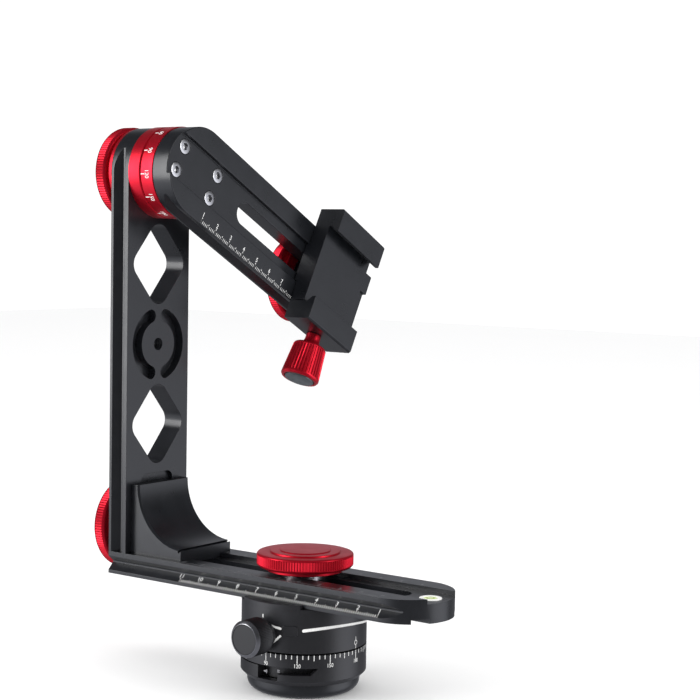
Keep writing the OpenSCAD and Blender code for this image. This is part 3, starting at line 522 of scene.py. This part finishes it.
def clampFrame():  # stands a piece made on +Z along the clamp screw, foot on the knob's start
    lowCap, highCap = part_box("clamp_knob_cap")
    lean = math.radians(tiltAxis["lean"])
    along = Vector((0, -math.sin(lean), -math.cos(lean)))
    middle = (lowCap + highCap) / 2
    return facing(along, middle - along * mm(clampKnob["capMiddle"]))


knob = makeClampKnob(clampKnob)
knob.data.transform(clampFrame())
smoothEdges(knob, 30)
dress(knob, "clamp_knob", redMetal)
capEnd = turnedPiece("clampKnobCap", [(20.2, 6.7), (21.9, 6.7), (22.1, 6.62), (22.35, 6.3), (22.5, 5.6),
                                      (22.58, 4.0), (22.6, 1.5)], 72)
capEnd.data.transform(clampFrame())
smoothEdges(capEnd, 30)
dress(capEnd, "clamp_knob_cap", capMetal)
print("clamp knob made")


# white markings: flat artwork with x along and y up, laid on a face or wrapped round a drum
marking = dict(thick=0.10, proud=0.035, narrow=0.86, tick=0.2)
marking["lift"] = marking["proud"] - marking["thick"] / 2


def printBar(left, foot, width, height):
    pickNothing()
    bpy.ops.mesh.primitive_cube_add(
        size=mm(1), location=(mm(left + width / 2), mm(foot + height / 2), mm(marking["lift"])))
    bar = bpy.context.object
    bar.scale = (width, height, marking["thick"])
    bakePlace(bar)
    return bar


def printTicks(count, step, height, start=0.0, foot=0.0, width=marking["tick"]):
    ticks = printBar(start - width / 2, foot, width, height)
    array = ticks.modifiers.new("tickRow", "ARRAY")
    array.count = count
    array.use_relative_offset = False
    array.use_constant_offset = True
    array.constant_offset_displace = (mm(step), 0, 0)
    applyAll(ticks)
    return ticks


def printWord(words, middle, foot, height, width=marking["narrow"]):
    pickNothing()
    bpy.ops.object.text_add()
    letters = bpy.context.object
    letters.data.body = words
    letters.data.align_x = "CENTER"
    letters.data.size = mm(height)
    letters.data.extrude = mm(marking["thick"] / 2)
    letters.data.resolution_u = 3
    bpy.ops.object.convert(target="MESH")
    letters = bpy.context.object
    share = mm(height) / letters.dimensions.y
    letters.data.transform(Matrix.Translation((mm(middle), mm(foot), mm(marking["lift"])))
                           @ Matrix.Diagonal((share * width, share, 1, 1)))
    editAll(letters)
    bpy.ops.mesh.remove_doubles(threshold=mm(0.001))
    leaveEdit()
    return letters


def printBand(start, end, startWidth, endWidth, steps=24):  # tapered line with a round start
    pickNothing()
    bpy.ops.mesh.primitive_grid_add(x_subdivisions=steps, y_subdivisions=1, size=2)
    band = bpy.context.object
    start, end = Vector(start), Vector(end)
    along = end - start
    across = Vector((-along.y, along.x)).normalized()
    roundSteps = 4
    for vertex in band.data.vertices:
        column = round((vertex.co.x + 1) / 2 * steps)
        if column < roundSteps:
            angle = math.pi / 2 * column / roundSteps
            share = startWidth / 2 * (1 - math.cos(angle)) / along.length
            half = startWidth / 2 * max(math.sin(angle), 0.05)
        else:
            share = startWidth / 2 / along.length
            share += (1 - share) * (column - roundSteps) / (steps - roundSteps)
            half = (startWidth + share * (endWidth - startWidth)) / 2
        spot = start + share * along + across * half * (1 if vertex.co.y > 0 else -1)
        vertex.co = (mm(spot.x), mm(spot.y), mm(marking["proud"]))
    solid = band.modifiers.new("inkThickness", "SOLIDIFY")
    solid.thickness = mm(marking["thick"])
    solid.offset = -1
    applyAll(band)
    return band


def printRing(middle, foot, radius, width):
    pickNothing()
    bpy.ops.mesh.primitive_torus_add(
        major_radius=mm(radius), minor_radius=mm(width / 2), major_segments=28, minor_segments=6,
        location=(mm(middle), mm(foot), mm(marking["lift"])))
    ring = bpy.context.object
    ring.scale = (1, 1, marking["thick"] / width)
    bakePlace(ring)
    return ring


def wrapRound(piece, radius, angle, height):  # bends flat artwork round +Z, its origin at an angle
    for vertex in piece.data.vertices:
        turn = math.radians(angle) + vertex.co.x / mm(radius)
        reach = mm(radius) + vertex.co.z
        vertex.co = (reach * math.cos(turn), reach * math.sin(turn), mm(height) + vertex.co.y)


def faceFrame(origin, along, up):  # matrix that lays flat artwork on a plane given in millimetres
    along, up = Vector(along).normalized(), Vector(up).normalized()
    turn = Matrix((along, up, along.cross(up))).transposed().to_4x4()
    return Matrix.Translation(Vector(origin) / 1000) @ turn


def finishMarks(pieces, name, node, material=None):
    marks = joinPieces(pieces, name)
    closeNormals(marks)
    dress(marks, node, material or whitePaint, replaced=False)
    return marks


# pan scale on the ring: a tick every 5 degrees below the seam, a number every 30
panScale = dict(radius=25.3, seam=18.45, zeroAt=-178.0, numberHeight=1.55, tickEvery=5,
                tickHeights={5: 1.5, 15: 2.1, 30: 3.2})


def tickHeight(value, heights):  # the height for the largest step that divides the value
    return heights[max(step for step in heights if value % step == 0)]


def makePanScale(look):
    arc = math.pi * look["radius"] / 180
    pieces = []
    for value in range(0, 360, look["tickEvery"]):
        height = tickHeight(value, look["tickHeights"])
        pieces.append(printBar(value * arc - 0.15, -height, 0.30, height))
    for value in range(0, 360, 30):
        longest = max(look["tickHeights"].values())
        pieces.append(printWord(str(value), value * arc, -longest - 0.15 - look["numberHeight"],
                                look["numberHeight"]))
    scale = joinPieces(pieces, "panScale")
    wrapRound(scale, look["radius"], look["zeroAt"], look["seam"])
    return finishMarks([scale], "panScale", "scale_ring")


makePanScale(panScale)

# white stripe, fork, lock bar and index mark on the drum: ends are angle and height, and the stripe
# falls off in a cosine on both sides of its peak
drumMarks = dict(
    radius=25.3, stripe=((-54.0, 0), (95.0, 0), 1.25, 0.40),
    stripeHigh=29.4, stripeSwing=6.0, stripePeak=-17,
    forkTop=((-72.6, 28.6), (-101.5, 30.9), 1.0, 0.5),
    forkLow=((-73.0, 26.05), (-90.2, 18.95), 0.95, 0.45), lockBar=(-92.0, 32.1, 0.55, 1.4), indexAt=1.8,
    indexRing=(21.55, 0.85, 0.28), indexLines=((19.15, 1.5), (22.4, 1.5)))


def makeDrumMarks(look):
    arc = math.pi * look["radius"] / 180
    pieces = []
    for name in ("stripe", "forkTop", "forkLow"):
        start, end, startWidth, endWidth = look[name]
        pieces.append(printBand((start[0] * arc, start[1]), (end[0] * arc, end[1]), startWidth, endWidth,
                                steps=64 if name == "stripe" else 16))
    for vertex in pieces[0].data.vertices:
        away = vertex.co.x * 1000 / arc - look["stripePeak"]
        fall = look["stripeSwing"] * (1 - math.cos(math.radians(away)))
        vertex.co.y += mm(look["stripeHigh"] - fall)
    angle, foot, width, height = look["lockBar"]
    pieces.append(printBar(angle * arc - width / 2, foot, width, height))
    height, radius, width = look["indexRing"]
    pieces.append(printRing(look["indexAt"] * arc, height, radius, width))
    for foot, height in look["indexLines"]:
        pieces.append(printBar(look["indexAt"] * arc - 0.13, foot, 0.26, height))
    marks = joinPieces(pieces, "drumMarks")
    wrapRound(marks, look["radius"], 0, 0)
    return finishMarks([marks], "drumMarks", "rotator_drum")


makeDrumMarks(drumMarks)

# small pale signs on the index lever
leverMarks = dict(radius=25.4, arrowAt=-87.1, arrowFoot=10.4, barsAt=-74.9, barsFoot=11.4)


def makeLeverMarks(look):
    arc = math.pi * look["radius"] / 180
    arrow = printBar(look["arrowAt"] * arc, look["arrowFoot"], 0.3, 1.5)
    pointer = printBand(((look["arrowAt"] * arc) - 0.25, look["arrowFoot"] + 0.75),
                        ((look["arrowAt"] * arc) - 1.35, look["arrowFoot"] + 0.75), 1.0, 0.1, steps=8)
    bars = [printBar(look["barsAt"] * arc - 0.5, look["barsFoot"] + step, 1.0, 0.3) for step in (0, 0.65)]
    marks = joinPieces([arrow, pointer] + bars, "leverMarks")
    wrapRound(marks, look["radius"], 0, 0)
    return finishMarks([marks], "leverMarks", "index_lever", fadedPaint)


makeLeverMarks(leverMarks)

# millimetre scale on the front dovetail facet of the lower rail, with the numbers falling outward
railScale = dict(
    foot=(0, -19, 38.2), top=(0, -16.2, 41.2), firstAt=49.0, step=10.0, last=11, numberFoot=2.25,
    numberHeight=1.75, numberWidth=1.15, tickFoot=0.2, tickWidth=0.26, tickHeights={1: 1.2, 5: 1.6, 10: 1.9})


def makeRailScale(look):
    up = Vector(look["top"]) - Vector(look["foot"])
    pieces = []
    start = look["firstAt"] - look["step"] * (look["last"] - 1)
    count = int(look["step"]) * (look["last"] - 1) + 1
    for ticks, step in ((count, 1), (look["last"] * 2 - 1, 5), (look["last"], 10)):
        pieces.append(printTicks(
            ticks, step, look["tickHeights"][step], start, look["tickFoot"], look["tickWidth"]))
    for number in range(1, look["last"] + 1):
        place = look["firstAt"] - look["step"] * (number - 1)
        pieces.append(printWord(
            str(number), place, look["numberFoot"], look["numberHeight"], look["numberWidth"]))
    scale = joinPieces(pieces, "railScale")
    scale.data.transform(faceFrame(look["foot"], (1, 0, 0), up))
    return finishMarks([scale], "railScale", "lower_rail")


makeRailScale(railScale)

# faint scales on the two lands on top of the lower rail
landScale = dict(height=46.2, frontEdge=-17.6, rearEdge=11.2, start=-51.0, count=101, tickHeight=0.75,
                 longHeight=1.6, numberFoot=2.0, numberHeight=1.2)


def makeLandScale(look):
    front = [printTicks(look["count"], 1, look["tickHeight"], look["start"], 0, 0.14),
             printTicks((look["count"] + 9) // 10, 10, look["longHeight"], look["start"], 0, 0.2)]
    for i in range((look["count"] + 9) // 10):
        front.append(printWord(str(i + 1), look["start"] + 10 * i, look["numberFoot"], look["numberHeight"]))
    front = joinPieces(front, "frontLandScale")
    front.data.transform(faceFrame((0, look["frontEdge"], look["height"]), (1, 0, 0), (0, 1, 0)))
    rear = printTicks((look["count"] + 9) // 10, 10, look["longHeight"], look["start"], 0, 0.3)
    rear.data.transform(faceFrame((0, look["rearEdge"], look["height"]), (1, 0, 0), (0, 1, 0)))
    return finishMarks([front, rear], "landScales", "lower_rail", fadedPaint)


makeLandScale(landScale)

# tilt numbers every 30 degrees round the dial, read from the seam beside the fixed ring
tiltScale = dict(radius=19.3, seamX=-74.6, tickFoot=0.45, tickHeight=1.85, numberFoot=2.75,
                 numberHeight=2.05, middleValue=120, turn=3.5)


def makeTiltScale(look):
    arc = math.pi * look["radius"] / 180
    pieces = []
    for step in range(12):
        value = (look["middleValue"] + 30 * step) % 360
        place = 30 * step * arc
        pieces.append(printBar(place - 0.2, look["tickFoot"], 0.4, look["tickHeight"]))
        pieces.append(printWord(str(value), place, look["numberFoot"], look["numberHeight"]))
    scale = joinPieces(pieces, "tiltScale")
    wrapRound(scale, look["radius"], look["turn"], 0)
    turn = Matrix(((0, 0, 1), (-1, 0, 0), (0, -1, 0))).to_4x4()
    scale.data.transform(Matrix.Translation((mm(look["seamX"]), 0, mm(tiltAxis["height"]))) @ turn)
    return finishMarks([scale], "tiltScale", "tilt_dial")


makeTiltScale(tiltScale)

# millimetre scale along the lower edge of the upper rail's outer face
upperScale = dict(faceX=-58.0, edge=-18.4, start=10.0, count=111, numberFoot=2.95,
                  numberHeight=2.0, tickHeights={1: 1.3, 5: 1.9, 10: 2.6})


def makeUpperScale(look):
    lean = math.radians(tiltAxis["lean"])
    along = Vector((0, math.cos(lean), -math.sin(lean)))
    up = Vector((0, math.sin(lean), math.cos(lean)))
    count = look["count"]
    pieces = [printTicks(count, 1, look["tickHeights"][1], look["start"]),
              printTicks((count + 4) // 5, 5, look["tickHeights"][5], look["start"], 0, 0.24),
              printTicks((count + 9) // 10, 10, look["tickHeights"][10], look["start"], 0, 0.26)]
    for i in range((count + 9) // 10):
        place = look["start"] + 10 * i
        pieces.append(printWord(str(i + 1), place, look["numberFoot"], look["numberHeight"]))
    scale = joinPieces(pieces, "upperScale")
    origin = Vector((look["faceX"], 0, tiltAxis["height"])) + up * look["edge"]
    scale.data.transform(faceFrame(origin, along, up))
    return finishMarks([scale], "upperScale", "upper_rail")


makeUpperScale(upperScale)
print("scales and marks printed")


# bubble level: white cup, domed fluid, black target circle and bubble
level = dict(x=60.7, top=44.65, circleRadius=1.45, circleDepth=0.1)
cup = turnedPiece("levelCup", [(-5.3, 4.3), (-0.2, 4.4), (-0.08, 4.34), (0, 4.2), (0, 2.95), (-0.08, 2.8),
                               (-0.4, 2.75), (-4.5, 2.75)], 48)
vial = turnedPiece("levelVial", [(-4.45, 2.7), (-0.4, 2.7), (-0.25, 2.6), (-0.17, 2.2), (-0.13, 1.6),
                                 (-0.1, 1.0)], 48)
circle = printRing(0, 0, level["circleRadius"], 0.28)
bubble = turnedPiece("levelBubble", [(-0.14, 1.1), (-0.08, 1.0), (-0.05, 0.75), (-0.03, 0.35)], 32)
levelPlace = Matrix.Translation((mm(level["x"]), 0, mm(level["top"])))
circle.data.transform(Matrix.Translation((0, 0, mm(-level["circleDepth"]))))
for piece, node, material, replaced in (
        (cup, "level_ring", levelWhite, True), (vial, "level_vial", levelFluid, True),
        (circle, "level_vial", gripMetal, False), (bubble, "level_vial", bubbleGlass, False)):
    piece.data.transform(levelPlace)
    smoothEdges(piece, 40)
    dress(piece, node, material, replaced)
circle.name = "levelCircle"
print("bubble level made")


# hexagon socket heads of the screws that show
socketHeads = dict(segments=24, socketRadius=0.52, socketDepth=0.62)


def makeSocketScrew(name, headRadius, headHeight, shaftRadius, length):
    socket = headRadius * socketHeads["socketRadius"]
    depth = headHeight * socketHeads["socketDepth"]
    screw = turnedPiece(name, [
        (-headHeight - length, shaftRadius), (-headHeight, shaftRadius), (-headHeight, headRadius - 0.1),
        (-headHeight + 0.1, headRadius), (-0.3, headRadius), (-0.08, headRadius - 0.12),
        (0, headRadius - 0.35), (0, socket), (-depth, socket), (-depth - 0.3, socket * 0.4)],
        socketHeads["segments"])
    for vertex in screw.data.vertices:
        if abs(vertex.co.xy.length - mm(socket)) < mm(0.01):
            around = math.degrees(math.atan2(vertex.co.y, vertex.co.x)) % 60 - 30
            share = math.cos(math.radians(30)) / math.cos(math.radians(around))
            vertex.co.xy = vertex.co.xy * share
    smoothEdges(screw, 30)
    return screw


upperScrews = dict(faceX=-59.9, y=11.8, z=5.5, head=(3.2, 2.6, 2.0, 10.1))
gussetScrews = dict(x=(-75.0, -65.0), z=36.8, head=(4.2, 4.5, 2.5, 9.7))


def placeUpperScrews(look):
    first = makeSocketScrew("upperScrew", *look["head"])
    turn = Matrix.Rotation(math.radians(-tiltAxis["lean"]), 4, "X")
    turn = Matrix.Translation((0, 0, mm(tiltAxis["height"]))) @ turn
    screws = []
    for y in (-1, 1):
        for z in (-1, 1):
            place = (mm(look["faceX"]), mm(y * look["y"]), mm(z * look["z"]))
            stand = turn @ facing((1, 0, 0), place, 0.3 * y + 0.5 * z)
            screws.append(ownCopy(first, "upperScrew", stand))
    bpy.data.objects.remove(first)
    dress(joinPieces(screws, "upperRailScrews"), "upper_rail_screws", steelMetal)


def placeGussetScrews(look):
    first = makeSocketScrew("gussetScrew", *look["head"])
    screws = [ownCopy(first, "gussetScrew", facing((0, 0, -1), (mm(x), 0, mm(look["z"])), 0.02 * x))
              for x in look["x"]]
    bpy.data.objects.remove(first)
    dress(joinPieces(screws, "gussetScrews"), "gusset_screws", steelMetal)


placeUpperScrews(upperScrews)
placeGussetScrews(gussetScrews)
print("socket screws made")


# thread ridges in the tripod bush and in the arm's centre hole
def threadRidge(name, boreRadius, depth, pitch, low, high, segments=40):
    pickNothing()
    bpy.ops.mesh.primitive_circle_add(vertices=3, radius=mm(1), location=(0, 0, 0))
    ridge = bpy.context.object
    corners = [(boreRadius, 0), (boreRadius + depth, -pitch * 0.42), (boreRadius + depth, pitch * 0.42)]
    for vertex, (radius, height) in zip(ridge.data.vertices, corners):
        vertex.co = (mm(radius), 0, mm(low - pitch + height))
    turns = math.ceil((high - low) / pitch) + 2
    screw = ridge.modifiers.new("threadTurns", "SCREW")
    screw.angle = 2 * math.pi
    screw.screw_offset = mm(pitch)
    screw.iterations = turns
    screw.steps = segments
    screw.render_steps = segments
    screw.use_merge_vertices = True
    screw.merge_threshold = mm(0.001)
    applyAll(ridge)
    for limit, side in ((low, -1), (high, 1)):
        editAll(ridge)
        bpy.ops.mesh.bisect(
            plane_co=(0, 0, mm(limit)), plane_no=(0, 0, side), clear_outer=True, use_fill=True)
        leaveEdit()
    closeNormals(ridge)
    ridge.name = name
    smoothEdges(ridge, 35)
    return ridge


tripodThread = threadRidge("tripodThread", 3.97, 0.75, 25.4 / 16, 0.3, 8.7)
dress(tripodThread, "thread_bush", steelMetal, replaced=False)
bush = turnedPiece("threadBush", [(0.0, 6.7), (0.25, 6.97), (9.0, 6.97), (9.0, 4.66), (0.7, 4.66),
                                  (0.0, 5.3)], 64)
bridgeEnds(bush)
smoothEdges(bush, 30)
dress(bush, "thread_bush", steelMetal)
centreThread = threadRidge("centreThread", 2.3, 0.4, 25.4 / 20, -9.2, -0.7, 28)
centreThread.data.transform(facing((1, 0, 0), (mm(-81.3), 0, mm(134.2))))
dress(centreThread, "upright_arm", blackMetal, replaced=False)
print("threads cut")


# camera at the photograph's place
cameraSpot = dict(focalPixels=1668.8, frameWidth=700, place=(406.49, -526.10, 181.11),
                  yaw=0.63294, pitch=-0.06733, roll=0.01762)


def addCamera(spot):
    yaw, pitch, roll = spot["yaw"], spot["pitch"], spot["roll"]
    ahead = Vector((-math.sin(yaw) * math.cos(pitch), math.cos(yaw) * math.cos(pitch), math.sin(pitch)))
    right = Vector((math.cos(yaw), math.sin(yaw), 0))
    up = right.cross(ahead)
    rightRolled = math.cos(roll) * right + math.sin(roll) * up
    upRolled = -math.sin(roll) * right + math.cos(roll) * up
    data = bpy.data.cameras.new("studioCamera")
    data.sensor_width = 36
    data.lens = 36 * spot["focalPixels"] / spot["frameWidth"]
    data.clip_end = 50
    camera = bpy.data.objects.new("studioCamera", data)
    bpy.context.collection.objects.link(camera)
    turn = Matrix((rightRolled, upRolled, -ahead)).transposed().to_4x4()
    camera.matrix_world = Matrix.Translation(Vector(spot["place"]) / 1000) @ turn
    bpy.context.scene.camera = camera


addCamera(cameraSpot)


# studio: white floor and backdrop, two soft boxes, and dimmer surroundings with three pale areas that
# only polished surfaces mirror; each area is azimuth, elevation, inner and outer angle, strength
studio = dict(
    floorHalf=2.5, backdrop=(1.1, 1.1, 1.1), tint=(0.95, 0.97, 1.06),
    below=0.30, level=0.11, above=0.06, overhead=0.10,
    paleAreas=[(-128, -4, 12, 46, 1.0), (30, -17, 10, 34, 1.35), (128, 10, 8, 34, 0.38)],
    lights=[("leftBox", (-0.80, -1.02, 0.42), (0, 0, 0.12), (0.55, 1.0), 11),
            ("rightBox", (1.20, 0.25, 0.42), (0, 0, 0.10), (0.35, 0.9), 6)])


def addFloor(settings):
    pickNothing()
    bpy.ops.mesh.primitive_plane_add(size=2 * settings["floorHalf"], location=(0, 0, 0))
    floor = bpy.context.object
    floor.name = "studioFloor"
    floor.visible_glossy = False
    floor.data.materials.append(mattSurface(
        "studioWhite", dict(colour=(0.95,) * 3, colourTwo=(0.945,) * 3, rough=1.0, cloudSize=0.5)))
    bakePlace(floor)


def addLight(name, place, target, size, power):
    data = bpy.data.lights.new(name, "AREA")
    data.shape = "RECTANGLE"
    data.size, data.size_y = size
    data.energy = power
    light = bpy.data.objects.new(name, data)
    bpy.context.collection.objects.link(light)
    light.location = place
    light.rotation_euler = (Vector(target) - Vector(place)).to_track_quat("-Z", "Y").to_euler()


def mathNode(tree, operation, first, second):
    node = tree.nodes.new("ShaderNodeMath")
    node.operation = operation
    for socket, value in zip(node.inputs, (first, second)):
        if isinstance(value, (int, float)):
            socket.default_value = value
        else:
            tree.links.new(value, socket)
    return node.outputs["Value"]


def paleArea(tree, direction, azimuth, elevation, inner, outer, strength):
    turn, lift = math.radians(azimuth), math.radians(elevation)
    dot = tree.nodes.new("ShaderNodeVectorMath")
    dot.operation = "DOT_PRODUCT"
    dot.inputs[1].default_value = (
        math.cos(turn) * math.cos(lift), math.sin(turn) * math.cos(lift), math.sin(lift))
    tree.links.new(direction, dot.inputs[0])
    return addRange(tree, dot.outputs["Value"], 0, strength,
                    math.cos(math.radians(outer)), math.cos(math.radians(inner)))


def addSurroundings(settings):  # white to the lens and to matt surfaces, dim to what the metal mirrors
    world = bpy.data.worlds.new("studioWorld")
    world.use_nodes = True
    tree = world.node_tree
    place = tree.nodes.new("ShaderNodeTexCoord")
    direction = place.outputs["Generated"]
    split = tree.nodes.new("ShaderNodeSeparateXYZ")
    tree.links.new(direction, split.inputs["Vector"])
    height = split.outputs["Z"]
    glow = addRange(tree, height, settings["below"], settings["level"], -0.35, 0.02)
    glow = mathNode(tree, "MINIMUM", glow, addRange(
        tree, height, settings["level"] + 0.3, settings["above"], -0.25, 0.12))
    glow = mathNode(tree, "ADD", glow, addRange(
        tree, height, 0, settings["overhead"] - settings["above"], 0.4, 0.9))
    for area in settings["paleAreas"]:
        glow = mathNode(tree, "ADD", glow, paleArea(tree, direction, *area))
    tinted = tree.nodes.new("ShaderNodeVectorMath")
    tinted.operation = "SCALE"
    tinted.inputs[0].default_value = settings["tint"]
    tree.links.new(glow, tinted.inputs["Scale"])
    path = tree.nodes.new("ShaderNodeLightPath")
    white = mathNode(tree, "MAXIMUM", path.outputs["Is Camera Ray"], path.outputs["Is Diffuse Ray"])
    mix = tree.nodes.new("ShaderNodeMix")
    mix.data_type = "RGBA"
    mix.inputs["B"].default_value = (*settings["backdrop"], 1)
    tree.links.new(tinted.outputs["Vector"], mix.inputs["A"])
    tree.links.new(white, mix.inputs["Factor"])
    tree.links.new(mix.outputs["Result"], tree.nodes["Background"].inputs["Color"])
    bpy.context.scene.world = world
    bpy.context.scene.view_settings.view_transform = "Standard"


addSurroundings(studio)
addFloor(studio)
for row in studio["lights"]:
    addLight(*row)
print("studio ready")
